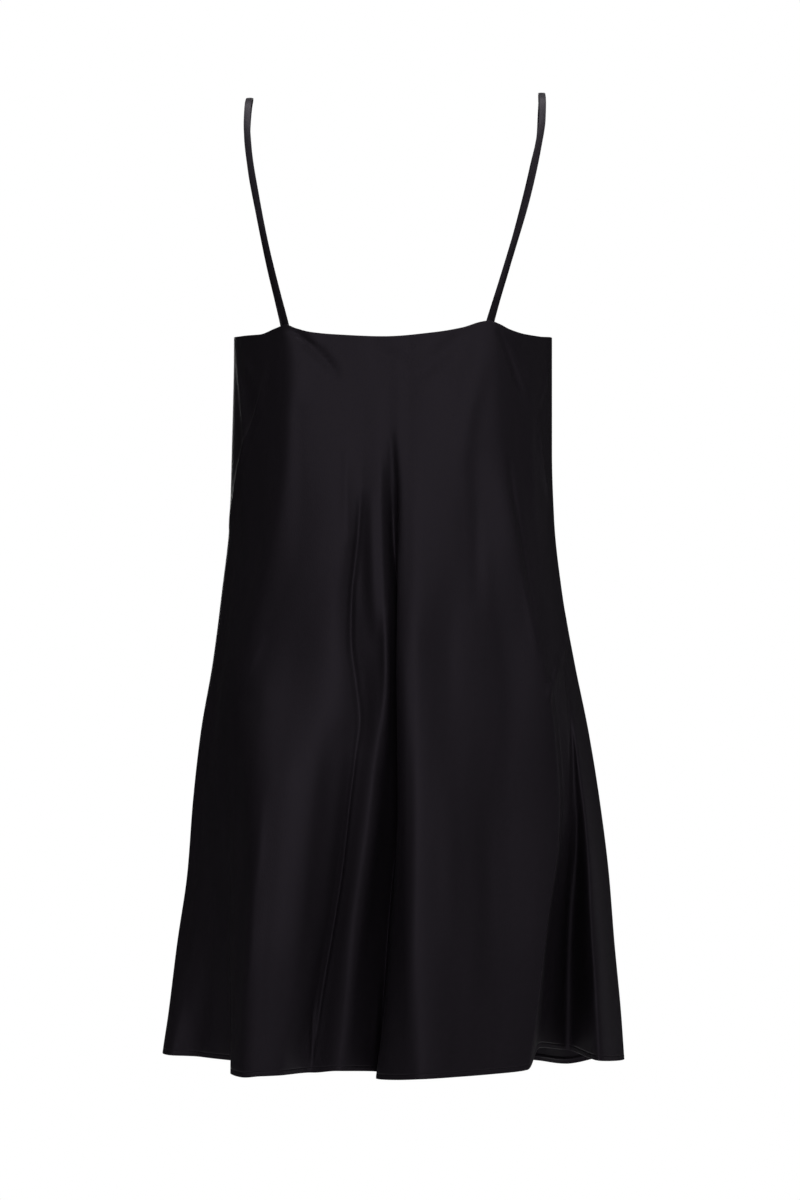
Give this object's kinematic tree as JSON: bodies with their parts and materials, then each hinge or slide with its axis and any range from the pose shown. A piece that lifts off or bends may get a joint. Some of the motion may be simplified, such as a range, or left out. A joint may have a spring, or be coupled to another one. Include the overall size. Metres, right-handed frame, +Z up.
{
  "type": "slip dress",
  "caption": "Short black satin slip dress in its worn, hollow shape, with thin shoulder straps and a softly fluted A-line skirt.",
  "frame": {"origin": "midway between the two straps' undersides at the top of the shoulders, where the wearer holds the dress up", "axes": "+Z up towards the wearer's head, -Y the way the wearer faces, +X to the wearer's left"},
  "size_m": [0.4151, 0.3052, 0.8871],
  "materials": {
    "satin": "black satin with a soft sheen",
    "strap_satin": "black satin strap"
  },
  "bodies": {
    "root": {"back_panel": "satin", "front_panel": "satin", "strap_left": "strap_satin", "strap_right": "strap_satin"}
  },
  "joints": []
}
